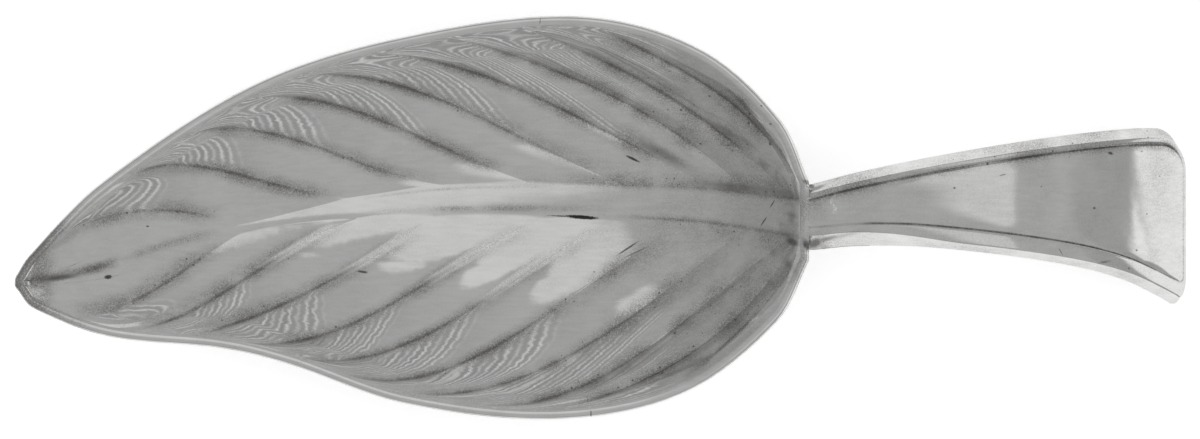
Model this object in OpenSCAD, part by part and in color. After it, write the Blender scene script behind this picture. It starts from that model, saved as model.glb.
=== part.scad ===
// Tea caddy spoon: a pressed leaf bowl with raised lobes between its veins, and a flared handle soldered
// to its heel. X runs along the spoon from the tip of the leaf to the end of the handle, Y is to the left
// of someone who holds it, and Z is up. The spoon lies on the belly of its bowl, with its origin below the
// middle of its box.

/* [Bowl] */
// Length of the leaf bowl, from its heel at the handle to its tip
bowl_length = 61; // [50:1:72]
// Greatest width of the leaf bowl
bowl_width = 31; // [26:0.5:36]
// Depth of the bowl inside, at its deepest
bowl_depth = 6.8; // [5.6:0.2:8]
// Thickness of the silver sheet
sheet = 0.55; // [0.45:0.05:0.8]
// Slope of the bowl's side where it meets the rim, in degrees
wall_angle = 48; // [42:1:56]
// Height by which the rim sweeps up at the tip of the leaf
tip_lift = 0.8; // [0:0.1:2]

/* [Veins] */
// Height of each lobe above the grooves beside it
lobe_height = 0.25; // [0.13:0.02:0.45]
// Width of the midrib at the heel
rib_width = 3.4; // [2.4:0.1:4]
// Height of the midrib above the grooves beside it
rib_height = 0.2; // [0.1:0.05:0.5]

/* [Handle] */
// Length of the handle, from the bowl's heel to its end
handle_length = 29.1; // [24:0.1:32]
// Width of the handle's root, where it is soldered to the heel
root_width = 5.2; // [4.4:0.1:6.2]
// Width of the handle's end, across its bevels
end_width = 12.9; // [10:0.1:16]
// Thickness of the handle
handle_thick = 1.5; // [1.2:0.1:2]
// Radius to which the handle is bent
bend_radius = 38; // [32:1:48]
// Angle at which the handle rises from the heel, in degrees
rise_angle = 15; // [10:1:19]
// Width of the raised border on the handle's left side
left_border = 0.5; // [0.4:0.05:0.8]
// Width of the raised border on the handle's right side
right_border = 1.2; // [0.8:0.05:1.4]
// Height of the bevel round the handle
bevel = 0.75; // [0.5:0.05:0.9]
// Width of the bevel on the handle's left side
left_bevel = 0.75; // [0.5:0.05:0.9]
// Width of the bevel on the handle's right side
right_bevel = 0.5; // [0.3:0.05:0.9]
// Depth of the panel below the border
panel_sink = 0.12; // [0.05:0.01:0.3]

/* [Hidden] */

half_width = bowl_width / 2;
// The rim is filed flat, so the sheet shows a wider edge than its thickness
edge = sheet / sin(wall_angle);
// The filed edge is half as wide again at the tip
tip_edge = 1.5 * edge;
// Height of the heel's face, which the handle is soldered to, and the rounding elsewhere under the rim
heel_face = 0.85 * handle_thick;
// The heel's flat reaches past the handle's root, further on the right
left_heel = 0.53 * root_width;
right_heel = 0.635 * root_width;
// Section of the rim from its inner edge out, as [share of the filed edge, drop below its flat in sheets]
rim_section = [[0.75, 0.06], [0.5, 0], [0.08, 0], [0, 0.12]];
// The wall meets the rim a little lower than the flat, and the outer side is rounded below it
rim_fall = 0.25 * sheet;
rim_round = 0.45 * sheet;
// The bowl is deepest this share of its length from the heel
deepest = 0.24;
vein_count = 9;
last = vein_count + 1;

// Outline of the leaf on each side, as [share of the way round the rim, [share of the bowl's length from
// the heel, share of half its width]]. It starts at the corner of the heel and stops short of the tip.
left_outline = [
    [0, [0, left_heel / half_width]], [0.07, [0.035, 0.48]], [0.19, [0.136, 0.835]], [0.33, [0.286, 0.998]],
    [0.5, [0.489, 0.915]], [0.68, [0.691, 0.675]], [0.88, [0.892, 0.17]], [0.975, [0.982, -0.19]],
    [1, [0.997, -0.28]]];
right_outline = [
    [0, [0, -right_heel / half_width]], [0.08, [0.039, -0.51]], [0.22, [0.158, -0.87]],
    [0.37, [0.316, -0.998]], [0.55, [0.51, -0.92]], [0.68, [0.656, -0.725]], [0.78, [0.743, -0.645]],
    [0.9, [0.886, -0.585]], [0.975, [0.978, -0.445]], [1, [0.997, -0.355]]];
// Course of the midrib, what is left of its width, and the lowest line of the dish, each as [share of the
// length, value]
rib_line = [[0, 0], [0.14, 0.068], [0.39, 0.092], [0.59, 0.042], [0.79, -0.11], [0.9, -0.25], [1, -0.325]];
rib_taper = [[0, 1], [0.14, 0.88], [0.45, 0.75], [0.6, 0.45], [0.72, 0.2], [1, 0.06]];
dish_line = [[0, 0], [0.5, 0], [0.8, -0.12], [1, -0.325]];
// Each vein as [number, [where it leaves the midrib, where it meets the rim, its angle at each]]. Vein 0
// is the heel and the last is the tip.
left_veins = [
    [0, [0, 0, 90, 90]], [1, [0.005, 0.31, 75, 27]], [2, [0.015, 0.395, 47, 20]], [3, [0.07, 0.47, 44, 15]],
    [4, [0.115, 0.55, 26, 5]], [5, [0.235, 0.64, 21, -6]], [6, [0.355, 0.7, 18, -7]],
    [7, [0.465, 0.785, 7, -22]], [8, [0.585, 0.855, 2, -26]], [9, [0.73, 0.945, 20, -34]],
    [last, [1, 1, 90, 130]]];
right_veins = [
    [0, [0, 0, 90, 90]], [1, [0.005, 0.375, 62, 12]], [2, [0.014, 0.455, 36, 0]], [3, [0.073, 0.55, 38, -5]],
    [4, [0.14, 0.625, 24, -18]], [5, [0.24, 0.675, 25, -13]], [6, [0.33, 0.76, 22, -10]],
    [7, [0.475, 0.81, 33, 14]], [8, [0.575, 0.875, 17, 9]], [9, [0.725, 0.935, 29, 1]],
    [last, [1, 1, 90, 140]]];
// A vein's curve has handles of this share of its chord
vein_handle = 0.35;

// Steps of the mesh: across each lobe, over the first and last lobes, along a vein, and over the midrib
lobe_steps = [0, 0.08, 0.22, 0.4, 0.6, 0.78, 0.92];
heel_steps = 14;
tip_steps = 7;
vein_steps = [0, 0.06, 0.15, 0.27, 0.4, 0.53, 0.66, 0.78, 0.88, 0.95, 1];
rib_steps = 5;

// A smooth curve through points [t, value], where each value is a number or a list
function point_slope(c, k) = let(a = max(k - 1, 0), b = min(k + 1, len(c) - 1))
    (c[b][1] - c[a][1]) / (c[b][0] - c[a][0]);
function span_of(c, t, k = 0) = k >= len(c) - 2 || t < c[k + 1][0] ? k : span_of(c, t, k + 1);
function smooth(c, t) = let(k = span_of(c, t), h = c[k + 1][0] - c[k][0], s = (t - c[k][0]) / h)
    (1 + 2 * s) * (1 - s) ^ 2 * c[k][1] + s * (1 - s) ^ 2 * h * point_slope(c, k)
    + s * s * (3 - 2 * s) * c[k + 1][1] + s * s * (s - 1) * h * point_slope(c, k + 1);
// A cubic from a to d, whose inner points are b and c
function cubic(a, b, c, d, t) = (1 - t) ^ 3 * a + 3 * (1 - t) ^ 2 * t * b + 3 * (1 - t) * t * t * c + t ^ 3 * d;
function unit(v) = v / norm(v);

// The outline at share t of the way round, and the same moved in by the width of the filed edge
function outline(side, t) = let(p = smooth(side > 0 ? left_outline : right_outline, t))
    [-p[0] * bowl_length, p[1] * half_width];
function rim_point(side, t, inset) = let(
    a = outline(side, max(t - 0.002, 0)), b = outline(side, min(t + 0.002, 1)), d = unit(b - a))
    outline(side, t) + inset * side * [-d[1], d[0]];
function vein(side, i) = smooth(side > 0 ? left_veins : right_veins, i);
function rib_share(i) = (vein(1, i)[0] + vein(-1, i)[0]) / 2;
// The midrib's edge at vein number i. Across the ends of the leaf it keeps inside the filed edge.
function rib_point(side, i, inset) = let(
    u = vein(side, i)[0],
    grow = inset * (1 + (tip_edge / edge - 1) * i / last))
    [-inset - (bowl_length - inset - grow) * u,
     smooth(rib_line, u) * half_width + side * smooth(rib_taper, u) * rib_width / 2];
// A point of the leaf seen from above: vein number i, and share v of the way from the midrib to the rim
function vein_point(side, i, v, inset) = let(
    w = vein(side, i), a = rib_point(side, i, inset), d = rim_point(side, w[1], inset),
    reach = vein_handle * norm(d - a))
    cubic(a, a + reach * [-cos(w[2]), side * sin(w[2])], d + reach * [cos(w[3]), -side * sin(w[3])], d, v);
// A point of the midrib at vein number i, and share s of the way from its right edge, -1, to its left, 1
function rib_cross(i, s, inset) =
    rib_point(-1, i, inset) * (1 - s) / 2 + rib_point(1, i, inset) * (1 + s) / 2;

// Half the width of the bowl inside, on each side, as a table over x
left_table = [for (k = [120:-1:0]) rim_point(1, k / 120, edge)];
right_table = [for (k = [120:-1:0]) rim_point(-1, k / 120, edge)];
// An arc's rise over its run from 0 to 1, scaled to end at 1
function arc_rise(w) = (1 - sqrt(1 - (min(w, 1) * sin(wall_angle)) ^ 2)) / (1 - cos(wall_angle));
function rim_height(x) = tip_lift * max(0, -x / bowl_length - deepest) ^ 2 / (1 - deepest) ^ 2;
// Height of the plain dish at a point, with the rim's lowest stretch at 0
function dish(p) = let(
    mid = smooth(dish_line, min(max(-p[0] / bowl_length, 0), 1)) * half_width,
    edge_y = p[1] > mid ? lookup(p[0], left_table) : lookup(p[0], right_table),
    across = min(1, abs((p[1] - mid) / (edge_y - mid))),
    low_x = -deepest * bowl_length,
    along = p[0] > low_x ? arc_rise((p[0] - low_x) / (-edge - low_x))
        : (max(low_x - p[0], 0) / (bowl_length - tip_edge + low_x)) ^ 1.8)
    rim_height(p[0]) - rim_fall - (bowl_depth - rim_fall) * max(0, 1 - along) * (1 - arc_rise(across));
// The lobe between two veins is a rounded ridge, which fades out at the midrib, the rim and the tip
function fade(v) = min(1, 0.15 + v / 0.35) * min(1, (1 - v) / 0.18);
function lobe(i, v) = lobe_height * sin(180 * (i - floor(i))) ^ 0.8 * fade(v) * (i > vein_count ? 0.4 : 1);
function crown(i, s) = rib_height * (1 - s * s) * smooth(rib_taper, rib_share(i)) * min(1, 8 * i, last - i);

columns = concat([for (k = [0:heel_steps - 1]) k / heel_steps],
    [for (i = [1:vein_count - 1], f = lobe_steps) i + f],
    [for (k = [0:tip_steps]) vein_count + k / tip_steps]);
side_rows = len(vein_steps) - 1;
rows = concat([for (k = [side_rows:-1:0]) [-1, vein_steps[k]]],
    [for (k = [1:rib_steps - 1]) [0, 2 * k / rib_steps - 1]],
    [for (k = [0:side_rows]) [1, vein_steps[k]]]);
column_count = len(columns);
row_count = len(rows);

// Each row is [side, share], where side 0 is the midrib
function plan(i, row, inset) =
    row[0] == 0 ? rib_cross(i, row[1], inset) : vein_point(row[0], i, row[1], inset);
function relief(i, row) = row[0] == 0 ? crown(i, row[1]) : lobe(i, row[1]);
function upright(p) = let(h = bowl_length / 1200,
    gx = (dish(p + [h, 0]) - dish(p - [h, 0])) / (2 * h), gy = (dish(p + [0, h]) - dish(p - [0, h])) / (2 * h))
    unit([-gx, -gy, 1]);
inner = [for (i = columns, row = rows) let(p = plan(i, row, edge)) [p[0], p[1], dish(p) + relief(i, row)]];
// How much of the heel's face is left at y, from 1 in its middle to 0 at the handle's sides
function heel_share(y) = max(0, 1 - (y * 2 / root_width) ^ 4);
// The under face is the inner one moved down by the thickness, square to the plain dish
under = [for (k = [0:len(inner) - 1]) let(
    p = inner[k], q = p - sheet * upright([p[0], p[1]]),
    shelf = -heel_face * heel_share(q[1]))
    [q[0], q[1], q[0] > -bowl_length / 30 ? min(q[2], shelf) : q[2]]];

// The border of the mesh, once round: heel, left rim, tip and right rim, as [column, row]
border = concat([for (r = [0:row_count - 1]) [0, r]],
    [for (c = [1:column_count - 1]) [c, row_count - 1]],
    [for (r = [row_count - 2:-1:0]) [column_count - 1, r]],
    [for (c = [column_count - 2:-1:1]) [c, 0]]);
rim_rings = [for (w = rim_section, b = border) let(
    p = plan(columns[b[0]], rows[b[1]], 0), q = plan(columns[b[0]], rows[b[1]], edge))
    [p[0] + w[0] * (q[0] - p[0]), p[1] + w[0] * (q[1] - p[1]), rim_height(p[0]) - w[1] * sheet]];
drop_ring = [for (b = border) let(p = plan(columns[b[0]], rows[b[1]], 0))
    [p[0], p[1], rim_height(p[0]) - max(rim_round, p[0] > -edge ? heel_face * heel_share(p[1]) : 0)]];
bowl_raw = concat(inner, under, rim_rings, drop_ring);

// The handle is bent round a cylinder across the spoon. Its centre lies past the heel and below the rim.
bend_x = bend_radius * sin(rise_angle);
bend_z = -bend_radius * cos(rise_angle);
end_turn = asin((handle_length - bend_x) / bend_radius);
// The groove round the panel as [share of the handle's length, sideways place] on its left and right sides
flare = (end_width - root_width) / 7.5;
left_groove = [[0, 0.26 * root_width], [0.125, 0.26 * root_width + 0.9 * flare],
    [0.36, 0.26 * root_width + 2.25 * flare], [0.637, 0.26 * root_width + 3.5 * flare],
    [0.862, 0.26 * root_width + 4.15 * flare], [1, 0.26 * root_width + 4.2 * flare]];
right_groove = [[0, -0.15 * root_width], [0.125, -0.09 * root_width], [0.31, -0.11 * root_width],
    [0.637, -0.15 * root_width - 0.9 * flare], [0.833, -0.15 * root_width - 2.15 * flare],
    [1, -0.15 * root_width - 4.2 * flare]];
// Roundings of the groove where it turns across the end, and its depth below the panel
left_corner = 0.16 * end_width;
right_corner = 0.023 * end_width;
groove_depth = 1.5 * panel_sink;
// At the end, the border and the bevel have little room
end_border = 0.5 * left_border;
end_bevel = 0.2 * left_bevel;
// Length of the groove line along the bend, up to where it turns across the end
run = bend_radius * (end_turn + rise_angle) * PI / 180 - end_border;
side_steps = [for (k = [0:17]) k / 17];
corner_steps = 5;

function groove_point(side, t) = let(c = side > 0 ? left_groove : right_groove) [t * run, smooth(c, t)];
// A corner of radius r, where the side's line would meet the end
function corner(side, r, k) = let(
    p = groove_point(side, 1), back = unit(groove_point(side, 1) - groove_point(side, 0.96)),
    lean = atan2(back[1], back[0]), turn = side > 0 ? -90 - lean : 90 - lean,
    tan_len = r * tan(abs(turn) / 2),
    start = p - tan_len * back, hub = start + r * [side * back[1], -side * back[0]],
    a = lean + side * 90 + turn * k / corner_steps)
    hub + r * [cos(a), sin(a)];
function corner_start(side, r) = 1 - 1.3 * r / run;
// The groove line, from the root along the left side, across the end and back to the root, as [point, outward]
groove_line = concat(
    [for (t = side_steps) groove_point(1, t * corner_start(1, left_corner))],
    [for (k = [0:corner_steps]) corner(1, left_corner, k)],
    [for (k = [corner_steps:-1:0]) corner(-1, right_corner, k)],
    [for (k = [len(side_steps) - 1:-1:0]) groove_point(-1, side_steps[k] * corner_start(-1, right_corner))]);
groove_count = len(groove_line);
function outward(k) = let(
    a = groove_line[max(k - 1, 0)], b = groove_line[min(k + 1, groove_count - 1)], d = unit(b - a))
    [-d[1], d[0]];
// Rings of the handle's section, as [share of the border's width, bevel widths, height]
border_fall = panel_sink / 2;
rings = [[-0.35, 0, -panel_sink], [0, 0, -panel_sink - groove_depth], [0.25, 0, -panel_sink / 3], [0.6, 0, 0],
    [1, 0, -border_fall], [1, 1, -border_fall - bevel], [1, 1, -0.93 * handle_thick], [0.7, 1, -handle_thick]];

// Points on the bend: s along it, y across, and n out from the bend's radius
function bent(s, y, n) = let(
    root = asin(-bend_x / (bend_radius + n)), a = max(root, s / bend_radius * 180 / PI - rise_angle))
    [bend_x + (bend_radius + n) * sin(a), y, bend_z + (bend_radius + n) * cos(a)];
function ring_point(k, ring) = let(
    left = k < groove_count / 2, o = outward(k),
    w = left ? left_border : right_border, b = left ? left_bevel : right_bevel,
    p = groove_line[k]
        + [(end_border * ring[0] + end_bevel * ring[1]) * o[0], (w * ring[0] + b * ring[1]) * o[1]],
    at_root = k == 0 || k == groove_count - 1)
    bent(at_root ? -1 : p[0], p[1], ring[2]);
function handle_points() = [for (ring = rings, k = [0:groove_count - 1]) ring_point(k, ring)];

// Everything is moved so that the box of the whole spoon is centred over the origin and rests on z = 0
handle_raw = handle_points();
all_x = concat([for (p = bowl_raw) p[0]], [for (p = handle_raw) p[0]]);
all_y = concat([for (p = bowl_raw) p[1]], [for (p = handle_raw) p[1]]);
all_z = concat([for (p = bowl_raw) p[2]], [for (p = handle_raw) p[2]]);
home = [-(min(all_x) + max(all_x)) / 2, -(min(all_y) + max(all_y)) / 2, -min(all_z)];

function quad(a, b, c, d) = [[a, b, c], [a, c, d]];
function flat_list(groups) = [for (g = groups, f = g) f];

module leaf_bowl() {
    n = column_count * row_count;
    m = len(border);
    function at(c, r) = c * row_count + r;
    top = [for (c = [0:column_count - 2], r = [0:row_count - 2])
        quad(at(c, r), at(c + 1, r), at(c + 1, r + 1), at(c, r + 1))];
    bottom = [for (c = [1:column_count - 3], r = [1:row_count - 3])
        quad(n + at(c, r), n + at(c, r + 1), n + at(c + 1, r + 1), n + at(c + 1, r))];
    // The rim's rings stand between the two faces, and the last one also borders the under face
    rings = len(rim_section) + 1;
    lowest = 2 * n + (rings - 1) * m;
    function low(c, r) = c == 0 ? lowest + r
        : r == row_count - 1 ? lowest + row_count - 1 + c
        : c == column_count - 1 ? lowest + 2 * (row_count - 1) + column_count - 1 - r
        : r == 0 ? lowest + m - c
        : n + at(c, r);
    skirt = [for (c = [0:column_count - 2], r = [0:row_count - 2])
        if (c == 0 || r == 0 || c == column_count - 2 || r == row_count - 2)
            quad(low(c, r), low(c, r + 1), low(c + 1, r + 1), low(c + 1, r))];
    function ring(k, j) = k == 0 ? at(border[j % m][0], border[j % m][1]) : 2 * n + (k - 1) * m + j % m;
    rim = [for (k = [0:rings - 1], j = [0:m - 1])
        quad(ring(k, j), ring(k, j + 1), ring(k + 1, j + 1), ring(k + 1, j))];
    color([0.78, 0.78, 0.79])
        translate(home)
            polyhedron(bowl_raw, flat_list(concat(top, bottom, skirt, rim)), convexity = 6);
}

module handle() {
    g = groove_count;
    r = len(rings);
    walls = [for (j = [0:r - 2], k = [0:g - 2])
        quad(j * g + k, (j + 1) * g + k, (j + 1) * g + k + 1, j * g + k + 1)];
    half = g / 2;
    panel = [for (k = [0:half - 2]) quad(k, k + 1, g - 2 - k, g - 1 - k)];
    base = (r - 1) * g;
    sole = [for (k = [0:half - 2]) quad(base + k, base + g - 1 - k, base + g - 2 - k, base + k + 1)];
    root_face = [concat([for (j = [0:r - 1]) j * g + g - 1], [for (j = [r - 1:-1:0]) j * g])];
    color([0.8, 0.8, 0.81])
        translate(home)
            polyhedron(handle_raw, concat(flat_list(concat(walls, panel, sole)), root_face), convexity = 4);
}

leaf_bowl();
handle();
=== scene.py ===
# Tea caddy spoon: a pressed silver leaf with a short flared handle, in a white light tent.
import math

import bpy
import numpy as np
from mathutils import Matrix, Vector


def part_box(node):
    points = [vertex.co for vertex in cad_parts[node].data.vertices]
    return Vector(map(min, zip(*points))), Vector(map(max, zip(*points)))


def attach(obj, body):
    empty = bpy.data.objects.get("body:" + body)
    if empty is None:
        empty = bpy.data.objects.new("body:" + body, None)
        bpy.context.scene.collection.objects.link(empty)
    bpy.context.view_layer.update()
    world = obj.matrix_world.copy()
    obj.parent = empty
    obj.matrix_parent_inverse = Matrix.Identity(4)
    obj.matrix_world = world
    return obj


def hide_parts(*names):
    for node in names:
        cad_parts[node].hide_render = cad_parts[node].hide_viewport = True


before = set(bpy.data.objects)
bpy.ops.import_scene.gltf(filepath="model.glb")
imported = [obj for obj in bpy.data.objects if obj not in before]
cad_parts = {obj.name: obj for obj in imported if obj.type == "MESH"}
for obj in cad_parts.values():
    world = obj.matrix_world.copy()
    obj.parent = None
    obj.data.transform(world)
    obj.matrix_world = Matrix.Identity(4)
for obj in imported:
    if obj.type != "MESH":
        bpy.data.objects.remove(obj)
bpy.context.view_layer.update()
mm = 0.001
print("frame loaded")

# The leaf. Sizes in millimetres, the same as the part's own
leaf = {
    "length": 61, "width": 31, "depth": 6.8, "sheet": 0.55, "rimWide": 0.74, "tipLift": 0.8, "lobeHeight": 0.25,
    "ribWidth": 3.4, "ribHeight": 0.2, "rootWidth": 5.2, "heelFace": 1.275, "rimFall": 0.1375, "rimRound": 0.2475,
    "edgeEase": 0.08, "easeOver": 0.35,
    "wallAngle": 48,  # of the walls at the rim, in degrees
    "deepest": 0.24, "tipPower": 1.8, "veinHandle": 0.35,  # shares of a length, and how the tip's end rises
    "atRib": 0.15, "growOver": 0.35, "rimFade": 0.18, "atTip": 0.4, "tipFade": 0.8, "lobePower": 0.8,  # of a lobe
    "columnsPerLobe": 34, "rowsPerSide": 84, "rowsOnRib": 14, "crowding": 0.55,  # of the grid
    # Tarnish and painted shade: half width of its line in a vein, reach of its film on the vein's two sides, and its
    # strengths
    "lineWide": 0.13, "filmAndShadePast": 0.95, "filmAndShadeAhead": 1.5, "allOver": 0.12, "heelMore": 0.14, "rimEdgeShade": 0.5,
    "tipFilm": 0.75, "streakWide": 0.34, "streakFrom": -52,
    "frostedVeins": (4.4, 8.5),  # numbers between which the right-hand veins are frosted
}
halfWidth = leaf["width"] / 2
filedEdge = leaf["rimWide"]
lastVein = 10

# Outline of the leaf on each side: share of the way round, share of the length, share of half the width
leftOutline = [
    (0, 0, 0.53 * leaf["rootWidth"] / halfWidth), (0.07, 0.035, 0.48), (0.19, 0.136, 0.835), (0.33, 0.286, 0.998),
    (0.5, 0.489, 0.915), (0.68, 0.691, 0.675), (0.88, 0.892, 0.17), (0.975, 0.982, -0.19),
    (1, 0.997, -0.28)]
rightOutline = [
    (0, 0, -0.635 * leaf["rootWidth"] / halfWidth), (0.08, 0.039, -0.51), (0.22, 0.158, -0.87),
    (0.37, 0.316, -0.998), (0.55, 0.51, -0.92), (0.68, 0.656, -0.725), (0.78, 0.743, -0.645),
    (0.9, 0.886, -0.585), (0.975, 0.978, -0.445), (1, 0.997, -0.355)]
# Course of the midrib, what is left of its width, and the lowest line of the dish: share of the length, value
ribLine = [(0, 0), (0.14, 0.068), (0.39, 0.092), (0.59, 0.042), (0.79, -0.11), (0.9, -0.25), (1, -0.325)]
ribTaper = [(0, 1), (0.14, 0.88), (0.45, 0.75), (0.6, 0.45), (0.72, 0.2), (1, 0.06)]
dishLine = [(0, 0), (0.5, 0), (0.8, -0.12), (1, -0.325)]
# Each vein: number, where it leaves the midrib, where it meets the rim, its angle at each
leftVeins = [
    (0, 0, 0, 90, 90), (1, 0.005, 0.31, 75, 27), (2, 0.015, 0.395, 47, 20), (3, 0.07, 0.47, 44, 15),
    (4, 0.115, 0.55, 26, 5), (5, 0.235, 0.64, 21, -6), (6, 0.355, 0.7, 18, -7), (7, 0.465, 0.785, 7, -22),
    (8, 0.585, 0.855, 2, -26), (9, 0.73, 0.945, 20, -34), (10, 1, 1, 90, 130)]
rightVeins = [
    (0, 0, 0, 90, 90), (1, 0.005, 0.375, 62, 12), (2, 0.014, 0.455, 36, 0), (3, 0.073, 0.55, 38, -5),
    (4, 0.14, 0.625, 24, -18), (5, 0.24, 0.675, 25, -13), (6, 0.33, 0.76, 22, -10), (7, 0.475, 0.81, 33, 14),
    (8, 0.575, 0.875, 17, 9), (9, 0.725, 0.935, 29, 1), (10, 1, 1, 90, 140)]


def smoothCurve(points, t):
    # Cubic pieces through the points, with the slope at each from its two neighbours. The result has one
    # column for each value of a point.
    table = np.array(points, float)
    times, values = table[:, 0], table[:, 1:]
    before = np.maximum(np.arange(len(times)) - 1, 0)
    after = np.minimum(np.arange(len(times)) + 1, len(times) - 1)
    slopes = (values[after] - values[before]) / (times[after] - times[before])[:, None]
    t = np.asarray(t, float)
    k = np.clip(np.searchsorted(times, t, side="right") - 1, 0, len(times) - 2)
    step = (times[k + 1] - times[k])[..., None]
    s = (t - times[k])[..., None] / step
    return ((1 + 2 * s) * (1 - s) ** 2 * values[k] + s * (1 - s) ** 2 * step * slopes[k]
            + s * s * (3 - 2 * s) * values[k + 1] + s * s * (s - 1) * step * slopes[k + 1])


def smoothStep(low, high, x):
    # 0 below low, 1 above high, and a soft s between them
    s = np.clip((x - low) / (high - low), 0, 1)
    return s * s * (3 - 2 * s)


def outlinePoint(side, t):
    # The outline's curve at share t of the way round, its shares turned to millimetres
    p = smoothCurve(leftOutline if side > 0 else rightOutline, t)
    return p * np.array([-leaf["length"], halfWidth])


def rimPoint(side, t, inset):
    # The outline moved in square to itself, whose course comes from a point a little to each side
    h = 0.002
    d = outlinePoint(side, np.minimum(t + h, 1)) - outlinePoint(side, np.maximum(t - h, 0))
    d /= np.linalg.norm(d, axis=-1, keepdims=True)
    return outlinePoint(side, t) + inset * side * np.stack([-d[..., 1], d[..., 0]], -1)


def veinAt(side, i):
    # A vein's two shares and two angles, on a smooth curve through the table, so that i may lie between veins
    return smoothCurve(leftVeins if side > 0 else rightVeins, i)


def ribPoint(side, i, inset):
    # The midrib's edge where vein i leaves it: its course, plus half its tapered width to the side. The inset
    # grows by half toward the tip.
    u = veinAt(side, i)[..., 0]
    grow = inset * (1 + 0.5 * i / lastVein)
    across = (smoothCurve(ribLine, u)[..., 0] * halfWidth
              + side * smoothCurve(ribTaper, u)[..., 0] * leaf["ribWidth"] / 2)
    return np.stack([-inset - (leaf["length"] - inset - grow) * u, across], -1)


def veinPoint(side, i, v, inset):
    # A cubic from the midrib to the rim, which leaves and arrives at the vein's two angles
    i, v = np.broadcast_arrays(np.asarray(i, float), np.asarray(v, float))
    w = veinAt(side, i)
    a, d = ribPoint(side, i, inset), rimPoint(side, w[..., 1], inset)
    reach = (leaf["veinHandle"] * np.linalg.norm(d - a, axis=-1))[..., None]
    leave, arrive = np.radians(w[..., 2]), np.radians(w[..., 3])
    b = a + reach * np.stack([-np.cos(leave), side * np.sin(leave)], -1)
    c = d + reach * np.stack([np.cos(arrive), -side * np.sin(arrive)], -1)
    v = v[..., None]
    return (1 - v) ** 3 * a + 3 * (1 - v) ** 2 * v * b + 3 * (1 - v) * v * v * c + v ** 3 * d


def arcRise(w):
    # An arc's rise over its run, from 0 to 1 each
    wall = math.radians(leaf["wallAngle"])
    return (1 - np.sqrt(1 - (np.clip(w, 0, 1) * math.sin(wall)) ** 2)) / (1 - math.cos(wall))


def rimHeight(x):
    # Level up to the deepest point, then up with the square of the way to the tip
    return leaf["tipLift"] * (np.maximum(0, -x / leaf["length"] - leaf["deepest"]) / (1 - leaf["deepest"])) ** 2


tableSteps = np.linspace(1, 0, 121)
leftTable = rimPoint(1, tableSteps, filedEdge)
rightTable = rimPoint(-1, tableSteps, filedEdge)


def dishHeight(p):
    # The plain dish: an arc across, times an arc toward the heel and a power toward the tip
    x, y = p[..., 0], p[..., 1]
    mid = smoothCurve(dishLine, np.clip(-x / leaf["length"], 0, 1))[..., 0] * halfWidth
    edgeY = np.where(y > mid, np.interp(x, leftTable[:, 0], leftTable[:, 1]),
                     np.interp(x, rightTable[:, 0], rightTable[:, 1]))
    across = np.abs((y - mid) / (edgeY - mid))
    lowX = -leaf["deepest"] * leaf["length"]
    tipRun = leaf["length"] - 1.5 * filedEdge + lowX
    along = np.where(x > lowX, arcRise((x - lowX) / (-filedEdge - lowX)),
                     (np.maximum(lowX - x, 0) / tipRun) ** leaf["tipPower"])
    hollow = (leaf["depth"] - leaf["rimFall"]) * np.maximum(0, 1 - along) * (1 - arcRise(across))
    hollow = hollow - leaf["edgeEase"] * (1 - np.exp(-hollow / leaf["easeOver"]))
    return rimHeight(x) - leaf["rimFall"] - hollow


def dishUpright(p):
    # The dish's upward normal, from the height a little to each side
    h = 0.05
    gx = (dishHeight(p + [h, 0]) - dishHeight(p - [h, 0])) / (2 * h)
    gy = (dishHeight(p + [0, h]) - dishHeight(p - [0, h])) / (2 * h)
    n = np.stack([-gx, -gy, np.ones_like(gx)], -1)
    return n / np.linalg.norm(n, axis=-1, keepdims=True)


def lobeHeight(i, v):
    # A rounded ridge between two veins, a power of a half wave, which fades out at the midrib, rim and tip
    fade = np.minimum(1, leaf["atRib"] + v / leaf["growOver"]) * np.minimum(1, (1 - v) / leaf["rimFade"])
    fade = fade * np.where(i > lastVein - 1, leaf["atTip"], 1) * smoothStep(lastVein, lastVein - leaf["tipFade"], i)
    return leaf["lobeHeight"] * np.maximum(np.sin(np.pi * (i - np.floor(i))), 0) ** leaf["lobePower"] * fade


def ribCrown(i, s):
    # A low arch across the midrib, 1 less the square of s, as high as the taper leaves it
    taper = smoothCurve(ribTaper, (veinAt(1, i)[..., 0] + veinAt(-1, i)[..., 0]) / 2)[..., 0]
    return leaf["ribHeight"] * (1 - s * s) * taper * np.minimum(1, np.minimum(8 * i, lastVein - i))


def gridFaces(rows, columns):
    # Four-sided faces over a grid whose points run along its rows first
    a = (np.arange(rows - 1)[:, None] * columns + np.arange(columns - 1)).ravel()
    return np.stack([a, a + 1, a + columns + 1, a + columns], -1)


def ringFaces(lower, upper):
    # Four-sided faces between two closed rings of the same count, given as point numbers
    return np.stack([lower, np.roll(lower, -1), np.roll(upper, -1), upper], -1)


def makePiece(name, points, faces, home, attributes=None):
    # A smooth-shaded mesh object from points in the leaf's millimetres and lists of faces
    mesh = bpy.data.meshes.new(name)
    points = (points + home) * mm
    corners = np.concatenate([f.ravel() for f in faces])
    sizes = np.concatenate([np.full(len(f), f.shape[1]) for f in faces])
    mesh.vertices.add(len(points))
    mesh.vertices.foreach_set("co", points.astype(np.float32).ravel())
    mesh.loops.add(len(corners))
    mesh.loops.foreach_set("vertex_index", corners.astype(np.int32))
    mesh.polygons.add(len(sizes))
    mesh.polygons.foreach_set("loop_start", np.concatenate([[0], np.cumsum(sizes)[:-1]]).astype(np.int32))
    mesh.polygons.foreach_set("use_smooth", np.ones(len(sizes), bool))
    for key, values in (attributes or {}).items():
        layer = mesh.attributes.new(key, "FLOAT", "POINT")
        layer.data.foreach_set("value", values.astype(np.float32).ravel())
    mesh.update(calc_edges=True)
    mesh.validate()
    piece = bpy.data.objects.new(name, mesh)
    bpy.context.scene.collection.objects.link(piece)
    return piece


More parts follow.
